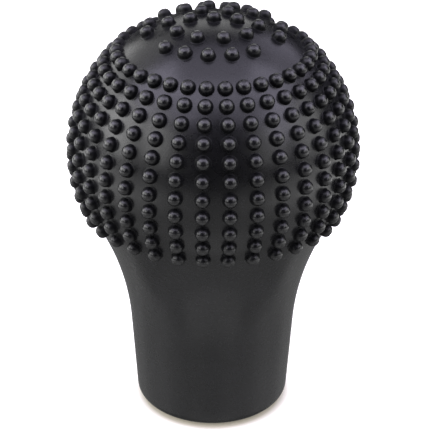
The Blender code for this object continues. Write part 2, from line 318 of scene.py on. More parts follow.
def studded_band(bm):
    """The band of cells, each with one stud. Returns its first and last ring."""
    rings = []
    for row in range(ROWS + 1):
        latitude = TOP_EDGE - row * ROW_STEP
        rings.append(grid_ring(bm, BALL_R * math.cos(latitude), BALL_Z + BALL_R * math.sin(latitude)))
    for row in range(ROWS):
        seams = [cell_seam(bm, row, column) for column in range(COLUMNS)]
        for column in range(COLUMNS):
            right = seams[(column + 1) % COLUMNS]
            edge = cell_edge(rings[row], rings[row + 1], seams[column], right, column)
            axis = direction((column + 0.5) * COLUMN_STEP, TOP_ROW_LATITUDE - row * ROW_STEP)
            foot = foot_ring(bm, axis)
            join_foot(bm, edge, foot)
            raise_stud(bm, axis, foot)
    return rings[0], rings[-1]


def crown_directions():
    for from_pole, first, step, count in CROWN_RUNS:
        for number in range(count):
            yield direction(math.radians(first + step * number), math.pi / 2 - math.radians(from_pole))


def flattened(point):
    """A point of the ball as a flat vector: its distance from the pole along the skin, at its azimuth."""
    away = (point - BALL_CENTRE).normalized()
    from_pole = math.acos(max(-1.0, min(1.0, away.z)))
    if from_pole < TINY:
        return Vector((0.0, 0.0))
    return from_pole * BALL_R * Vector((away.x, away.y)).normalized()


def raised(spot):
    """The point of the ball for a flat vector: the other way round from flattened()."""
    angle = spot.length / BALL_R
    across = BALL_R * math.sin(angle) * spot.normalized()
    return BALL_CENTRE + Vector((across.x, across.y, BALL_R * math.cos(angle)))


def fill_spots(axes):
    """A lattice of flat vectors over the crown, clear of its edge and of its studs."""
    limit = (math.pi / 2 - TOP_EDGE) * BALL_R - FILL_TO_EDGE
    clear = STUD_FOOT_R + FILL_TO_FOOT
    centres = [flattened(BALL_CENTRE + BALL_R * axis) for axis in axes]
    reach = int(limit / FILL_SPACING) + 2
    for row in range(-reach, reach + 1):
        for column in range(-reach, reach + 1):
            x = (column + 0.5 * (row % 2)) * FILL_SPACING
            y = row * FILL_SPACING * math.sqrt(0.75)
            spot = Vector((x, y))
            if spot.length <= limit and all((spot - centre).length >= clear for centre in centres):
                yield spot


def loop_edges(first, count):
    return [(first + k, first + (k + 1) % count) for k in range(count)]


def crown_cap(bm, outer):
    """The cap inside the top ring: a triangulated skin with a round hole at each stud, and the studs."""
    axes = list(crown_directions())
    feet = [foot_ring(bm, axis) for axis in axes]
    verts = list(outer)
    edges = loop_edges(0, len(outer))
    stud_of = [None] * len(outer)
    for number, foot in enumerate(feet):
        edges += loop_edges(len(verts), STUD_SIDES)
        verts += foot
        stud_of += [number] * STUD_SIDES
    for spot in fill_spots(axes):
        verts.append(bm.verts.new(raised(spot)))
        stud_of.append(None)
    flat = [flattened(vert.co) / MM for vert in verts]
    points, _, triangles, origins, _, _ = delaunay_2d_cdt(flat, edges, [], 0, TRIANGULATION_TOLERANCE)
    if len(points) != len(verts):
        raise ValueError("the crown's triangulation added or merged points")
    for triangle in triangles:
        a, b, c = (origins[point][0] for point in triangle)
        if stud_of[a] is not None and stud_of[a] == stud_of[b] == stud_of[c]:
            continue
        corners = [verts[a], verts[b], verts[c]]
        normal = (corners[1].co - corners[0].co).cross(corners[2].co - corners[0].co)
        if normal.dot(corners[0].co - BALL_CENTRE) < 0.0:
            corners.reverse()
        bm.faces.new(corners)
    for axis, foot in zip(axes, feet):
        raise_stud(bm, axis, foot)


def sleeve_profile_below(outline):
    """(radius, height) from just under the studs, down the neck, round the rim, and up inside to the top."""
    points = outline.ball(0.0, LOW_EDGE, outline.ball_latitude, BALL_FOOT_STEPS)[1:]
    points += outline.flare(0.0, FLARE_STEPS)[1:]
    corner_z = RIM_EDGE_R * (1.0 + math.sin(NECK_TAPER))
    corner_r = outline.neck_radius(corner_z) - RIM_EDGE_R / math.cos(NECK_TAPER)
    neck_top = points[-1][1]
    for i in range(1, NECK_STEPS):
        height = neck_top + (corner_z - neck_top) * i / NECK_STEPS
        points.append((outline.neck_radius(height), height))
    points += arc(corner_r, RIM_EDGE_R, RIM_EDGE_R, -NECK_TAPER, -math.pi / 2, RIM_STEPS)
    lip = LIP_ROUND
    points += arc(LIP_INNER_R + lip, lip, lip, -math.pi / 2, -math.pi, LIP_STEPS)
    points += arc(LIP_INNER_R + lip, LIP_THICKNESS - lip, lip, math.pi, math.pi / 2, LIP_STEPS)
    points.append((outline.neck_radius(LIP_THICKNESS, SLEEVE_WALL), LIP_THICKNESS))
    points += outline.flare(SLEEVE_WALL, INSIDE_FLARE_STEPS)[::-1]
    points += outline.ball(SLEEVE_WALL, outline.ball_latitude, INSIDE_BALL_END, INSIDE_BALL_STEPS)[1:]
    return points


def sleeve_piece(outline):
    bm = bmesh.new()
    top, ring = studded_band(bm)
    crown_cap(bm, top)
    for radius, height in sleeve_profile_below(outline):
        following = grid_ring(bm, radius, height)
        join_rings(bm, ring, following)
        ring = following
    pole = bm.verts.new((0.0, 0.0, BALL_Z + BALL_R - SLEEVE_WALL))
    for i in range(RING_COUNT):
        bm.faces.new((ring[i], pole, ring[(i + 1) % RING_COUNT]))
    sleeve = piece_from("silicone_sleeve", bm)
    round_skin_normals(sleeve.data)
    return sleeve


def round_skin_normals(mesh):
    """Gives each vertex of the skin between the studs the ball's own normal, so that it shades evenly."""
    lowest = BALL_Z + BALL_R * math.sin(LOW_EDGE)
    normals = []
    for vertex in mesh.vertices:
        away = vertex.co - BALL_CENTRE
        on_skin = abs(away.length - BALL_R) < SKIN_TOLERANCE and vertex.co.z > lowest - SKIN_TOLERANCE
        normals.append(away.normalized() if on_skin else vertex.normal.copy())
    mesh.normals_split_custom_set_from_vertices(normals)


def piece_from(name, bm):
    mesh = bpy.data.meshes.new(name)
    bm.normal_update()
    bm.to_mesh(mesh)
    bm.free()
    mesh.shade_smooth()
    mesh.set_sharp_from_angle(angle=SHARP_ANGLE)
    obj = bpy.data.objects.new(name, mesh)
    bpy.context.scene.collection.objects.link(obj)
    return obj


# ---------------------------------------------------------------- turned pieces


def rounded(corners):
    """A closed profile of (radius, height) from (radius, height, rounding) corners, with arcs in place of the
    rounded ones."""
    points = []
    for i, (radius, height, rounding) in enumerate(corners):
        here = Vector((radius, height))
        if rounding == 0.0:
            points.append((radius, height))
            continue
        before = (Vector(corners[i - 1][:2]) - here).normalized()
        after = (Vector(corners[(i + 1) % len(corners)][:2]) - here).normalized()
        half = before.angle(after) / 2
        centre = here + (before + after).normalized() * (rounding / math.sin(half))
        reach = rounding / math.tan(half)
        start = (here + reach * before - centre).normalized()
        end = (here + reach * after - centre).normalized()
        for k in range(ROUND_STEPS + 1):
            points.append(tuple(centre + rounding * start.slerp(end, k / ROUND_STEPS)))
    return points


def plain(points):
    """Profile points with no rounding of their own."""
    return [(radius, height, 0.0) for radius, height in points]


def spin(bm, profile, sides, relief=None):
    """Spins a closed profile round +Z. A point on the axis becomes a pole, and relief(radius, height, angle)
    moves the others in or out."""
    rings = []
    for radius, height in profile:
        if radius < SKIN_TOLERANCE:
            rings.append([bm.verts.new((0.0, 0.0, height))])
            continue
        ring = []
        for i in range(sides):
            angle = math.tau * i / sides
            away = radius + relief(radius, height, angle) if relief else radius
            ring.append(bm.verts.new((away * math.cos(angle), away * math.sin(angle), height)))
        rings.append(ring)
    for lower, upper in zip(rings, rings[1:] + rings[:1]):
        for i in range(sides):
            j = (i + 1) % sides
            if len(lower) == 1 and len(upper) == 1:
                break
            if len(lower) == 1:
                bm.faces.new((lower[0], upper[j], upper[i]))
            elif len(upper) == 1:
                bm.faces.new((lower[i], lower[j], upper[0]))
            else:
                bm.faces.new((lower[i], lower[j], upper[j], upper[i]))


def turned_piece(name, profile, sides, relief=None):
    bm = bmesh.new()
    spin(bm, profile, sides, relief)
    bmesh.ops.recalc_face_normals(bm, faces=bm.faces)
    return piece_from(name, bm)


def carve(piece, cutter):
    """Cuts the cutter's mesh out of the piece for good."""
    bmesh.ops.recalc_face_normals(cutter, faces=cutter.faces)
    guide = piece_from("cutter", cutter)
    modifier = piece.modifiers.new("cut", "BOOLEAN")
    modifier.operation = "DIFFERENCE"
    modifier.solver = "EXACT"
    modifier.object = guide
    evaluated = piece.evaluated_get(bpy.context.evaluated_depsgraph_get())
    mesh = bpy.data.meshes.new_from_object(evaluated)
    piece.modifiers.clear()
    piece.data = mesh
    bpy.data.objects.remove(guide)
    mesh.shade_smooth()
    mesh.set_sharp_from_angle(angle=SHARP_ANGLE)


def upper_core_piece():
    """The dome under the ball's upper half, with a boss that holds the threaded insert."""
    outer_r = BALL_R - SLEEVE_WALL - GAP
    inner_r = outer_r - CORE_WALL
    rebate_r = inner_r + TONGUE_THICKNESS + GAP
    rebate_z = BALL_Z + TONGUE_HEIGHT + GAP
    foot_z = BALL_Z + GAP / 2
    boss_foot = FLOOR_Z + FLOOR_THICKNESS + GAP
    pocket_r = INSERT_R + GAP
    pocket_top = boss_foot + INSERT_LENGTH + GAP
    hole_top = boss_foot + SCREW_LENGTH
    inside_start = math.asin((rebate_z - BALL_Z) / inner_r)
    boss_at = math.acos(BOSS_R / inner_r)
    corners = plain(arc(0.0, BALL_Z, outer_r, math.pi / 2, DOME_FOOT_ROOM, SHELL_STEPS))
    corners += [(outer_r, foot_z, EDGE), (rebate_r, foot_z, EDGE / 2), (rebate_r, rebate_z, EDGE / 2)]
    corners += plain(arc(0.0, BALL_Z, inner_r, inside_start, boss_at - BOSS_ROOM, SHELL_INSIDE_STEPS))
    corners += [(BOSS_R, BALL_Z + inner_r * math.sin(boss_at), 1.5 * EDGE), (BOSS_R, boss_foot, EDGE)]
    corners += [(pocket_r, boss_foot, EDGE / 2)]
    corners += plain([(pocket_r, pocket_top), (SCREW_HOLE_R, pocket_top), (SCREW_HOLE_R, hole_top)])
    corners += [(0.0, hole_top, 0.0)]
    return turned_piece("upper_core", rounded(corners), TURNED_SIDES)


def lower_core_piece(outline):
    """The lower half and neck tube, with the floor that the screw pulls on and a tongue round the top."""
    depth = SLEEVE_WALL + GAP
    inner_depth = depth + CORE_WALL
    outer_r = BALL_R - depth
    inner_r = BALL_R - inner_depth
    tongue_r = inner_r + TONGUE_THICKNESS
    tongue_z = BALL_Z + TONGUE_HEIGHT
    top_z = BALL_Z - GAP / 2
    foot_z = LIP_THICKNESS + GAP
    floor_top = FLOOR_Z + FLOOR_THICKNESS
    corners = [(outer_r, top_z, EDGE)]
    corners += plain(outline.ball(depth, -LOWER_TOP_ROOM, outline.ball_latitude, SHELL_BALL_STEPS))
    corners += plain(outline.flare(depth, SHELL_FLARE_STEPS)[1:])
    corners += [(outline.neck_radius(foot_z, depth), foot_z, EDGE)]
    corners += [(outline.neck_radius(foot_z, inner_depth), foot_z, EDGE)]
    corners += [(outline.neck_radius(FLOOR_Z, inner_depth), FLOOR_Z, 2 * EDGE)]
    corners += [(SCREW_HOLE_R, FLOOR_Z, EDGE), (SCREW_HOLE_R, floor_top, EDGE)]
    above_floor = floor_top + 4 * EDGE
    inside = outline.flare(inner_depth, SHELL_INSIDE_FLARE_STEPS)
    inside = [point for point in inside if point[1] > above_floor]
    corners += [(inside[-1][0], floor_top, 2 * EDGE)]
    corners += plain(inside[::-1])
    corners += plain(outline.ball(inner_depth, outline.ball_latitude, 0.0, SHELL_BALL_STEPS)[1:-1])
    corners += [(inner_r, top_z, 0.0), (inner_r, tongue_z, EDGE)]
    corners += [(tongue_r, tongue_z, EDGE), (tongue_r, top_z, 0.0)]
    return turned_piece("lower_core", rounded(corners), TURNED_SIDES)


def thread_relief(low, high):
    """A right-hand thread cut between two heights, which fades in and out over one pitch."""

    def relief(radius, height, angle):
        fade = min(height - low, high - height) / THREAD_PITCH
        if fade <= 0.0:
            return 0.0
        turn = (height / THREAD_PITCH - angle / math.tau) % 1.0
        flank = min(1.0, THREAD_FLANK * min(turn, 1.0 - turn))
        return -THREAD_DEPTH * flank * min(1.0, fade)

    return relief


def stepped(radius, low, high):
    """Points up a cylinder, close enough together to carry a thread or a knurl."""
    count = round((high - low) / THREAD_PITCH * THREAD_STEPS)
    return plain([(radius, low + (high - low) * i / count) for i in range(1, count)])


def tie_screw_piece():
    """A socket head cap screw, head down, with a straight knurl on its head."""
    head_top = FLOOR_Z - WASHER_THICKNESS - 2 * GAP
    head_foot = head_top - SCREW_HEAD_HEIGHT
    tip = head_top + SCREW_LENGTH
    thread = thread_relief(head_top + 2 * THREAD_PITCH, tip - EDGE)

    def relief(radius, height, angle):
        if radius > SCREW_HEAD_R - EDGE / 10 and head_foot + 2 * EDGE < height < head_top - 2 * EDGE:
            return -KNURL_DEPTH * (0.5 - 0.5 * math.cos(KNURL_TEETH * angle))
        return thread(radius, height, angle) if radius > SCREW_R - EDGE / 10 and height > head_top else 0.0

    corners = [(0.0, head_foot, 0.0), (SCREW_HEAD_R, head_foot, 1.6 * EDGE)]
    corners += plain([(SCREW_HEAD_R, head_foot + 2.2 * EDGE), (SCREW_HEAD_R, head_top - 2.2 * EDGE)])
    corners += [(SCREW_HEAD_R, head_top, EDGE / 2), (SCREW_R, head_top, 0.0)]
    corners += stepped(SCREW_R, head_top, tip - 2 * EDGE)
    corners += [(SCREW_R, tip - 1.6 * EDGE, 0.0), (SCREW_R - THREAD_DEPTH, tip, EDGE), (0.0, tip, 0.0)]
    screw = turned_piece("cap_screw", rounded(corners), SMALL_SIDES * 2, relief)
    cutter = bmesh.new()
    spin(cutter, socket_profile(head_foot), 6)
    carve(screw, cutter)
    return screw


def socket_profile(face):
    """The hexagon socket's cutter: straight sides, a drill point above and a chamfered mouth at the face."""
    top = face + SCREW_SOCKET_DEPTH
    return [
        (0.0, face - EDGE),
        (SCREW_SOCKET_R + 2 * EDGE, face - EDGE),
        (SCREW_SOCKET_R, face + EDGE),
        (SCREW_SOCKET_R, top),
        (0.0, top + 2 * EDGE),
    ]


def insert_piece():
    """A brass insert with a diamond knurl in two bands and a plain waist between them."""
    foot_z = FLOOR_Z + FLOOR_THICKNESS + GAP
    top_z = foot_z + INSERT_LENGTH
    bore_r = SCREW_R + GAP
    waist_r = INSERT_R - 1.4 * EDGE
    low_band = (foot_z + EDGE, foot_z + KNURL_BAND - EDGE)
    high_band = (top_z - KNURL_BAND + EDGE, top_z - 2 * EDGE)

    def relief(radius, height, angle):
        in_band = low_band[0] < height < low_band[1] or high_band[0] < height < high_band[1]
        if radius < INSERT_R - EDGE / 10 or not in_band:
            return 0.0
        lean = KNURL_LEAN * (height - foot_z) / INSERT_LENGTH
        first = math.cos(KNURL_TEETH * angle + math.tau * lean)
        second = math.cos(KNURL_TEETH * angle - math.tau * lean)
        return -KNURL_DEPTH * (0.5 - 0.25 * (first + second))

    corners = [(bore_r, foot_z, EDGE), (INSERT_R, foot_z, EDGE / 2)]
    corners += stepped(INSERT_R, *low_band)
    corners += [(INSERT_R, foot_z + KNURL_BAND, EDGE / 2), (waist_r, foot_z + KNURL_BAND + EDGE, 0.0)]
    corners += [(waist_r, top_z - KNURL_BAND - EDGE, 0.0), (INSERT_R, top_z - KNURL_BAND, EDGE / 2)]
    corners += stepped(INSERT_R, *high_band)
    corners += [(INSERT_R, top_z - EDGE, 0.0), (waist_r, top_z, EDGE / 2), (bore_r, top_z, EDGE / 2)]
    return turned_piece("brass_insert", rounded(corners), SMALL_SIDES * 2, relief)


def washer_piece():
    top_z = FLOOR_Z - GAP
    foot_z = top_z - WASHER_THICKNESS
    corners = [(WASHER_BORE_R, foot_z, EDGE / 2), (WASHER_R, foot_z, EDGE)]
    corners += [(WASHER_R, top_z, EDGE / 2), (WASHER_BORE_R, top_z, EDGE / 2)]
    return turned_piece("flat_washer", rounded(corners), SMALL_SIDES)


def spigot_radius(outline):
    return outline.neck_radius(LIP_THICKNESS, SLEEVE_WALL + GAP + CORE_WALL) - GAP


def plug_piece(outline):
    """The end plug: a flange, and a hollow spigot with a groove for the sealing ring."""
    spigot_r = spigot_radius(outline)
    groove_r = spigot_r - RING_SECTION_R * 2
    groove_foot = RING_Z - (RING_SECTION_R + GAP)
    groove_top = RING_Z + (RING_SECTION_R + GAP)
    inner_r = groove_r - PLUG_WALL
    corners = [(0.0, 0.0, 0.0), (PLUG_FLANGE_R, 0.0, 1.6 * EDGE)]
    corners += [(PLUG_FLANGE_R, PLUG_FLANGE_THICKNESS, EDGE), (spigot_r, PLUG_FLANGE_THICKNESS, 0.0)]
    corners += [(spigot_r, groove_foot, EDGE / 2), (groove_r, groove_foot, EDGE / 2)]
    corners += [(groove_r, groove_top, EDGE / 2), (spigot_r, groove_top, EDGE / 2)]
    corners += [(spigot_r, PLUG_TOP_Z - PLUG_LEAD_IN, EDGE)]
    corners += [(spigot_r - PLUG_LEAD_IN, PLUG_TOP_Z, EDGE), (inner_r, PLUG_TOP_Z, EDGE)]
    corners += [(inner_r, PLUG_FLOOR_THICKNESS, 2 * EDGE), (0.0, PLUG_FLOOR_THICKNESS, 0.0)]
    plug = turned_piece("end_plug", rounded(corners), TURNED_SIDES)
    carve(plug, slot_cutter())
    return plug


def slot_cutter():
    """A coin slot with round ends and a chamfered mouth, cut up from the plug's face."""
    length, width, depth = PRY_SLOT
    bm = bmesh.new()
    rings = []
    for height, spread in ((-EDGE, 2 * EDGE), (EDGE, 0.0), (depth, 0.0)):
        radius = width / 2 + spread
        ring = []
        for end in (1, -1):
            for k in range(SLOT_END_STEPS + 1):
                angle = -math.pi / 2 + math.pi * k / SLOT_END_STEPS
                x = end * (length / 2 - width / 2 + radius * math.cos(angle))
                ring.append(bm.verts.new((x, end * radius * math.sin(angle), height)))
        rings.append(ring)
    for lower, upper in zip(rings, rings[1:]):
        for i in range(len(lower)):
            j = (i + 1) % len(lower)
            bm.faces.new((lower[i], lower[j], upper[j], upper[i]))
    bm.faces.new(rings[0][::-1])
    bm.faces.new(rings[-1])
    return bm


def o_ring_piece(outline):
    centre_r = spigot_radius(outline) - RING_SECTION_R
    profile = arc(centre_r, RING_Z, RING_SECTION_R, 0.0, math.tau, RING_SECTION_STEPS)[:-1]
    return turned_piece("sealing_ring", profile, TURNED_SIDES)


# ---------------------------------------------------------------- materials


# Blender's wave texture turns its phase by this much per unit of length at a scale of one
WAVE_RATE = 20.0
# Blender's noise lies mostly between these two values
NOISE_RANGE = (0.3, 0.7)
BLACK = (0.0, 0.0, 0.0)
SILICONE_IOR = 1.41
# Up a stud, from the skin at 0 to the tip at 1: the roughness, which is 0.5 where it equals the skin's own,
# and the specular level. The foot and the sides are rougher, and their low specular level is painted shade
# that keeps them dark; the tip is smoother, polished by handling, and its high specular level is a painted
# highlight.
STUD_ROUGHNESS = ((0.0, 0.5), (0.03, 0.8), (0.45, 0.75), (0.75, 0.5), (0.97, 0.42))
STUD_SHADE_AND_HIGHLIGHT = ((0.004, 0.5), (0.03, 0.05), (0.1, 0.12), (0.45, 0.12), (0.75, 0.45), (0.97, 0.65))
# Share of the specular level that is left at the foot of the rim's rounded edge: painted shade, darker
# towards the floor
RIM_SHADE_SPECULAR = 0.25


class Nodes:
    """A small helper to write a material's node tree. Noise scales are in cells per metre."""

    def __init__(self, name):
        self.material = bpy.data.materials.new(name)
        self.material.use_nodes = True
        self.tree = self.material.node_tree
        self.shader = self.tree.nodes["Principled BSDF"]
        self.coords = self.add("ShaderNodeTexCoord").outputs["Object"]

    def add(self, kind, inputs=(), **settings):
        node = self.tree.nodes.new(kind)
        for key, value in settings.items():
            setattr(node, key, value)
        for key, value in dict(inputs).items():
            if isinstance(value, bpy.types.NodeSocket):
                self.tree.links.new(value, node.inputs[key])
            else:
                node.inputs[key].default_value = value
        return node

    def link(self, value, socket):
        self.tree.links.new(value, self.shader.inputs[socket])

    def set(self, socket, value):
        self.shader.inputs[socket].default_value = value

    def noise(self, scale, detail=3.0, roughness=0.5):
        inputs = {"Vector": self.coords, "Scale": scale, "Detail": detail, "Roughness": roughness}
        return self.add("ShaderNodeTexNoise", inputs).outputs["Fac"]

    def remap(self, value, low, high, from_low=0.0, from_high=1.0):
        inputs = {"Value": value, "From Min": from_low, "From Max": from_high, "To Min": low, "To Max": high}
        return self.add("ShaderNodeMapRange", inputs).outputs["Result"]

    def varied(self, low, high, scale, detail=3.0):
        """A value that wanders between two limits."""
        return self.remap(self.noise(scale, detail), low, high, *NOISE_RANGE)

    def ramp(self, value, stops):
        node = self.add("ShaderNodeValToRGB", {"Fac": value})
        elements = node.color_ramp.elements
        while len(elements) < len(stops):
            elements.new(0.5)
        for element, (position, colour) in zip(elements, stops):
            element.position = position
            element.color = (*colour, 1.0)
        return node.outputs["Color"]

    def bump(self, height, strength, distance, normal=None):
        inputs = {"Height": height, "Strength": strength, "Distance": distance}
        if normal is not None:
            inputs["Normal"] = normal
        return self.add("ShaderNodeBump", inputs).outputs["Normal"]

    def maths(self, operation, first, second):
        return self.add("ShaderNodeMath", {0: first, 1: second}, operation=operation).outputs["Value"]

    def add_colours(self, first, second):
        node = self.add("ShaderNodeMix", {"Factor": 1.0}, data_type="RGBA", blend_type="ADD")
        colours = [socket for socket in node.inputs if socket.type == "RGBA"]
        self.tree.links.new(first, colours[0])
        self.tree.links.new(second, colours[1])
        return next(socket for socket in node.outputs if socket.type == "RGBA")

    def distance_from(self, point):
        shifted = self.add("ShaderNodeVectorMath", {0: self.coords, 1: tuple(point)}, operation="SUBTRACT")
        length = self.add("ShaderNodeVectorMath", {0: shifted.outputs["Vector"]}, operation="LENGTH")
        return length.outputs["Value"]

    def height(self):
        return self.add("ShaderNodeSeparateXYZ", {0: self.coords}).outputs["Z"]

    def wave(self, kind, period, distortion):
        """Waves of a set period along +Z (BANDS) or outwards from it (RINGS)."""
        inputs = {"Vector": self.coords, "Scale": math.tau / (WAVE_RATE * period), "Distortion": distortion}
        node = self.add("ShaderNodeTexWave", inputs, wave_type=kind)
        node.bands_direction = "Z"
        node.rings_direction = "Z"
        return node.outputs["Fac"]


def greys(stops):
    """Colour stops of one grey level each."""
    return [(position, (level, level, level)) for position, level in stops]


def silicone():
    """Satin black silicone: mottled, finely grained skin, stud tips polished by handling, and painted shade
    and highlights in its specular level.
    """
    made = Nodes("satin_black_silicone")
    made.set("IOR", SILICONE_IOR)
    mottle = made.noise(60.0, 4.0, 0.6)
    base = made.ramp(mottle, [(0.35, (0.0026, 0.0027, 0.0030)), (0.65, (0.0044, 0.0045, 0.0050))])
    specks = made.ramp(made.noise(1400.0, 2.0), [(0.69, BLACK), (0.76, (0.004, 0.004, 0.0037))])
    made.link(made.add_colours(base, specks), "Base Color")
    over_skin = made.remap(made.distance_from(BALL_CENTRE), 0.0, 1.0, BALL_R, BALL_R + STUD_HEIGHT)
    on_ball = made.maths("GREATER_THAN", made.height(), BALL_Z + BALL_R * math.sin(LOW_EDGE))
    up_stud = made.maths("MULTIPLY", over_skin, on_ball)
    grain = made.varied(0.25, 0.31, 900.0)
    share = made.maths("MULTIPLY", made.ramp(up_stud, greys(STUD_ROUGHNESS)), 2.0)
    made.link(made.maths("MULTIPLY", grain, share), "Roughness")
    # The specular level up a stud: painted shade at the foot and up the sides, a painted highlight on the tip
    stud_shade_and_highlight = made.ramp(up_stud, greys(STUD_SHADE_AND_HIGHLIGHT))
    # Painted shade: the specular level fades down the rim's rounded edge, darkest at the floor
    rim_painted_shade = made.remap(made.height(), RIM_SHADE_SPECULAR, 1.0, 0.0, RIM_EDGE_R)
    made.link(made.maths("MULTIPLY", stud_shade_and_highlight, rim_painted_shade), "Specular IOR Level")
    waves = made.bump(made.noise(140.0, 2.0), 0.25, 0.25 * MM)
    made.link(made.bump(made.noise(4500.0, 2.0), 0.12, 0.05 * MM, waves), "Normal")
    return made.material


def moulded_plastic(name, dark, light, roughness):
    """Moulded plastic with a spark-eroded grain, short glass fibres and faint flow lines round the axis."""
    made = Nodes(name)
    mottle = made.noise(220.0, 5.0, 0.65)
    fibres = made.ramp(made.noise(3200.0, 1.0), [(0.62, BLACK), (0.74, (0.03, 0.03, 0.03))])
    made.link(made.add_colours(made.ramp(mottle, [(0.3, dark), (0.7, light)]), fibres), "Base Color")
    made.link(made.varied(roughness - 0.07, roughness + 0.07, 1700.0), "Roughness")
    flow = made.bump(made.wave("RINGS", 2.4 * MM, 3.0), 0.08, 0.1 * MM)
    made.link(made.bump(made.noise(5200.0, 3.0), 0.3, 0.04 * MM, flow), "Normal")
    return made.material


def turned_metal(name, dark, light, feed):
    """Turned metal: tool marks at the given feed on its faces and round its sides, and a patchy tarnish."""
    made = Nodes(name)
    made.set("Metallic", 1.0)
    made.link(made.ramp(made.noise(260.0, 6.0, 0.7), [(0.32, dark), (0.6, light)]), "Base Color")
    marks = made.maths("MULTIPLY", made.wave("RINGS", feed, 0.4), made.wave("BANDS", feed, 0.4))
    scuffs = made.varied(0.22, 0.4, 1100.0, 4.0)
    made.link(made.maths("ADD", scuffs, made.remap(marks, 0.0, 0.06)), "Roughness")
    made.link(made.bump(marks, 0.35, 0.02 * MM), "Normal")
    return made.material


def core_plastic():
    return moulded_plastic("glass_filled_nylon", (0.055, 0.056, 0.06), (0.085, 0.086, 0.09), 0.5)


def plug_plastic():
    return moulded_plastic("plug_plastic", (0.014, 0.014, 0.015), (0.024, 0.024, 0.026), 0.42)


def screw_steel():
    return turned_metal("zinc_plated_steel", (0.4, 0.41, 0.44), (0.58, 0.59, 0.62), 0.12 * MM)


def insert_brass():
    return turned_metal("turned_brass", (0.5, 0.33, 0.12), (0.74, 0.55, 0.26), 0.15 * MM)


def ring_rubber():
    """Matt nitrile rubber, greyed by a fine bloom."""
    made = Nodes("ring_rubber")
    bloom = [(0.4, (0.014, 0.014, 0.015)), (0.75, (0.04, 0.04, 0.038))]
    made.link(made.ramp(made.noise(700.0, 5.0, 0.7), bloom), "Base Color")
    made.link(made.varied(0.52, 0.68, 1500.0), "Roughness")
    made.link(made.bump(made.noise(4200.0, 3.0), 0.2, 0.03 * MM), "Normal")
    return made.material


def dress(obj, material):
    obj.data.materials.clear()
    obj.data.materials.append(material)


# ---------------------------------------------------------------- lights


LAMP_DISTANCE = 0.8

# The light from overhead is a little cooler than the rest
COOL = (0.98, 0.93, 1.17)
NEUTRAL = (1.0, 1.0, 1.0)

# Each soft box: azimuth from the front and elevation in degrees, width and height in metres, power in watts,
# and tint
SOFT_BOXES = (
    ("overhead", 0.0, 90.0, 0.6, 0.6, 2.1, COOL),
    ("overhead_wide", 0.0, 90.0, 0.9, 0.9, 1.75, COOL),
    ("back", 180.0, 30.0, 0.45, 0.45, 0.95, NEUTRAL),
    ("back_left", -135.0, 35.0, 0.45, 0.45, 0.7, NEUTRAL),
    ("back_right", 135.0, 35.0, 0.45, 0.45, 0.85, COOL),
    ("low_back_left", -140.0, 8.0, 0.4, 0.4, 1.0, NEUTRAL),
    ("low_left", -115.0, 15.0, 0.3, 0.3, 0.9, NEUTRAL),
    ("left", -90.0, 15.0, 0.45, 0.45, 3.9, NEUTRAL),
    ("right", 90.0, 15.0, 0.45, 0.45, 1.9, NEUTRAL),
    ("high_left", -90.0, 50.0, 0.45, 0.45, 2.9, COOL),
    ("high_right", 90.0, 50.0, 0.45, 0.45, 2.4, COOL),
    ("side_left", -65.0, 32.0, 0.35, 0.35, 0.9, NEUTRAL),
    ("side_right", 65.0, 32.0, 0.35, 0.35, 1.2, COOL),
    ("front_left", -50.0, 20.0, 0.4, 0.4, 1.9, NEUTRAL),
    ("front_right", 50.0, 20.0, 0.4, 0.4, 1.0, NEUTRAL),
    ("high_front_left", -40.0, 55.0, 0.4, 0.4, 1.6, COOL),
    ("high_front_right", 40.0, 55.0, 0.4, 0.4, 1.05, COOL),
    ("high_front", 0.0, 65.0, 0.4, 0.4, 0.8, COOL),
    ("bounce_under", 0.0, -60.0, 0.7, 0.3, 0.3, NEUTRAL),
)
# Rings of panels below the horizon fill the neck evenly: elevation, panel width and height, and a panel's
# power at the front, the sides and the back
RING_PANELS = 12
LOW_RINGS = (
    (-18.0, 0.43, 0.3, 0.06, 0.75, 0.15),
    (-40.0, 0.33, 0.35, 0.07, 0.12, 0.0),
)
# Two wide panels under the floor, in front and behind, stand for the light that a white table sends back up
TABLE_PANEL_SIDE = 2.4
TABLE_PANEL_DEPTH = 0.25
TABLE_FRONT_POWER = 4.0
TABLE_BACK_POWER = 2.1


def panel(name, place, facing, width, height, power, tint=NEUTRAL):
    """A rectangular lamp that no camera sees."""
    lamp = bpy.data.lights.new(name, "AREA")
    lamp.shape = "RECTANGLE"
    lamp.size = width
    lamp.size_y = height
    lamp.energy = power
    lamp.color = tint
    obj = bpy.data.objects.new(name, lamp)
    obj.location = place
    obj.rotation_euler = facing.to_track_quat("-Z", "Y").to_euler()
    obj.visible_camera = False
    bpy.context.scene.collection.objects.link(obj)


def soft_box(name, azimuth, elevation, width, height, power, tint=NEUTRAL):
    """A panel facing the ball from that azimuth and elevation, in degrees."""
    away = direction(math.radians(azimuth), math.radians(elevation))
    panel(name, BALL_CENTRE + LAMP_DISTANCE * away, -away, width, height, power, tint)


def low_ring(elevation, width, height, front, side, back):
    for i in range(RING_PANELS):
        azimuth = 360.0 * i / RING_PANELS
        forward = math.cos(math.radians(azimuth))
        facing_power = front if forward > 0.0 else back
        power = side * (1.0 - forward * forward) + facing_power * forward * forward
        soft_box("ring_%d_%02d" % (-elevation, i), azimuth, elevation, width, height, power)


def table_panel(name, side, power):
    """Half of the table's light: in front of the object (side -1) or behind it (side 1)."""
    half = TABLE_PANEL_SIDE / 2
    place = Vector((0.0, side * half / 2, -TABLE_PANEL_DEPTH))
    panel(name, place, UP, TABLE_PANEL_SIDE, half, power)


def make_lights():
    for lamp in SOFT_BOXES:
        soft_box(*lamp)
    for ring in LOW_RINGS:
        low_ring(*ring)
    table_panel("table_front", -1.0, TABLE_FRONT_POWER)
    table_panel("table_back", 1.0, TABLE_BACK_POWER)


# ---------------------------------------------------------------- stage


BACKDROP_R = 4.0
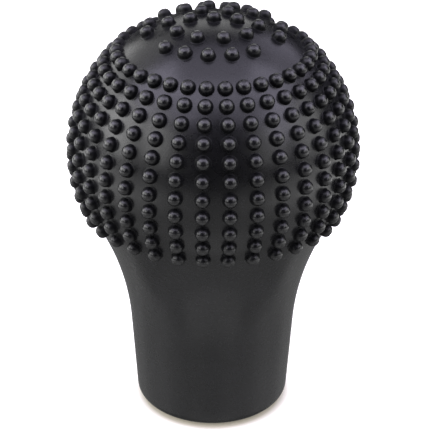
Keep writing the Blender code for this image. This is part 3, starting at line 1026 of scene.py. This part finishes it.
# The floor reaches this far each way, and lies just clear of the rim
FLOOR_REACH = 0.9
FLOOR_DROP = 0.05 * MM
FLOOR_GLOW = 0.42
FLOOR_GLOW_TINT = (1.0, 0.93, 0.76)
FLOOR_COLOUR = (0.9, 0.9, 0.9)
# The painted contact shadow falls forwards: its rings are centred this far in front of the axis
PAINTED_SHADOW_SHIFT = 1.15 * MM
# Colour and glow of the painted contact shadow in front of the rim
PAINTED_SHADOW_COLOUR = (0.3, 0.28, 0.22)
PAINTED_SHADOW_GLOW = 0.225


def floor_material():
    """A pale floor with a painted contact shadow, darker and warmer, just in front of the neck's rim, and
    clear from below.
    """
    made = Nodes("pale_floor")
    made.set("Roughness", 1.0)
    made.set("Specular IOR Level", 0.0)
    # Painted contact shadow: the floor is darker and glows less close in front of the rim
    away = made.distance_from((0.0, -PAINTED_SHADOW_SHIFT, 0.0))
    out_of_painted_shadow = made.remap(away, 0.0, 1.0, NECK_BASE_R - PAINTED_SHADOW_SHIFT, NECK_BASE_R + PAINTED_SHADOW_SHIFT)
    made.link(made.ramp(out_of_painted_shadow, [(0.0, PAINTED_SHADOW_COLOUR), (1.0, FLOOR_COLOUR)]), "Base Color")
    made.set("Emission Color", (*FLOOR_GLOW_TINT, 1.0))
    made.link(made.remap(out_of_painted_shadow, PAINTED_SHADOW_GLOW, FLOOR_GLOW), "Emission Strength")
    clear = made.add("ShaderNodeBsdfTransparent")
    below = made.add("ShaderNodeNewGeometry").outputs["Backfacing"]
    surfaces = {0: below, 1: made.shader.outputs["BSDF"], 2: clear.outputs["BSDF"]}
    mix = made.add("ShaderNodeMixShader", surfaces)
    made.tree.links.new(mix.outputs["Shader"], made.tree.nodes["Material Output"].inputs["Surface"])
    return made.material


def backdrop_material():
    """A white wall that glows by itself and takes no light."""
    made = Nodes("pale_backdrop")
    made.set("Base Color", (0.0, 0.0, 0.0, 1.0))
    made.set("Specular IOR Level", 0.0)
    made.set("Emission Color", (1.0, 1.0, 1.0, 1.0))
    made.set("Emission Strength", 1.0)
    return made.material


def make_floor():
    bm = bmesh.new()
    bmesh.ops.create_grid(bm, x_segments=8, y_segments=8, size=FLOOR_REACH)
    bmesh.ops.translate(bm, verts=bm.verts, vec=(0.0, 0.0, -FLOOR_DROP))
    floor = piece_from("floor", bm)
    floor.visible_glossy = False
    floor.visible_shadow = False
    dress(floor, floor_material())
    return floor


def make_backdrop():
    """A globe round the whole scene that only the camera sees, so that it adds no light of its own."""
    bm = bmesh.new()
    bmesh.ops.create_icosphere(bm, subdivisions=4, radius=BACKDROP_R)
    backdrop = piece_from("backdrop", bm)
    for ray in ("diffuse", "glossy", "transmission", "volume_scatter", "shadow"):
        setattr(backdrop, "visible_" + ray, False)
    dress(backdrop, backdrop_material())
    return backdrop


def make_world():
    """A dark world: all the light comes from the lamps and the floor."""
    world = bpy.data.worlds.new("studio")
    world.use_nodes = True
    world.node_tree.nodes["Background"].inputs["Strength"].default_value = 0.0
    bpy.context.scene.world = world


# ---------------------------------------------------------------- camera


# Above the front and a little to the left; the distance is from the ball's centre
CAMERA_DISTANCE = 313.5 * MM
CAMERA_ELEVATION = math.radians(25.0)
CAMERA_AZIMUTH = math.radians(-1.3)
# Where it aims, to the right and up from the ball's centre, as shares of the distance
CAMERA_AIM = (0.0014, -0.0433)
CAMERA_ROLL = 0.006
# In millimetres
FOCAL_LENGTH = 129.0
SENSOR = 36.0
CLIP_START = 0.01
CLIP_END = 50.0


def make_camera():
    away = direction(CAMERA_AZIMUTH, CAMERA_ELEVATION)
    forward = -away
    right = Vector((math.cos(CAMERA_AZIMUTH), math.sin(CAMERA_AZIMUTH), 0.0))
    up = right.cross(forward)
    forward = (forward + CAMERA_AIM[0] * right + CAMERA_AIM[1] * up).normalized()
    right = forward.cross(up).normalized()
    up = right.cross(forward)
    turned_right = math.cos(CAMERA_ROLL) * right + math.sin(CAMERA_ROLL) * up
    turned_up = -math.sin(CAMERA_ROLL) * right + math.cos(CAMERA_ROLL) * up
    camera = bpy.data.cameras.new("camera")
    camera.sensor_width = SENSOR
    camera.lens = FOCAL_LENGTH
    camera.clip_start = CLIP_START
    camera.clip_end = CLIP_END
    obj = bpy.data.objects.new("camera", camera)
    turn = Matrix((turned_right, turned_up, -forward)).transposed().to_4x4()
    obj.matrix_world = Matrix.Translation(BALL_CENTRE + CAMERA_DISTANCE * away) @ turn
    bpy.context.scene.collection.objects.link(obj)
    bpy.context.scene.camera = obj


# ---------------------------------------------------------------- assembly


def place(piece, material, body, node, slot):
    """Gives a finished piece its material, and puts it on its body in place of a CAD node."""
    dress(piece, material)
    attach(piece, body)
    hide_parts(node)


def place_pieces():
    outline = Outline()
    plastic = core_plastic()
    steel = screw_steel()
    place(sleeve_piece(outline), silicone(), "grip", "friction_sleeve", "sleeve_silicone")
    place(upper_core_piece(), plastic, "grip", "upper_core_shell", "core_plastic")
    place(lower_core_piece(outline), plastic, "grip", "lower_core_shell", "core_plastic")
    place(insert_piece(), insert_brass(), "grip", "threaded_insert", "insert_brass")
    place(tie_screw_piece(), steel, "grip", "tie_screw", "screw_steel")
    place(washer_piece(), steel, "grip", "tie_screw_washer", "screw_steel")
    place(plug_piece(outline), plug_plastic(), "plug", "base_plug", "plug_plastic")
    place(o_ring_piece(outline), ring_rubber(), "plug", "plug_o_ring", "ring_rubber")


def main():
    bpy.context.scene.view_settings.view_transform = "Standard"
    place_pieces()
    make_camera()
    make_floor()
    make_backdrop()
    make_world()
    make_lights()


main()
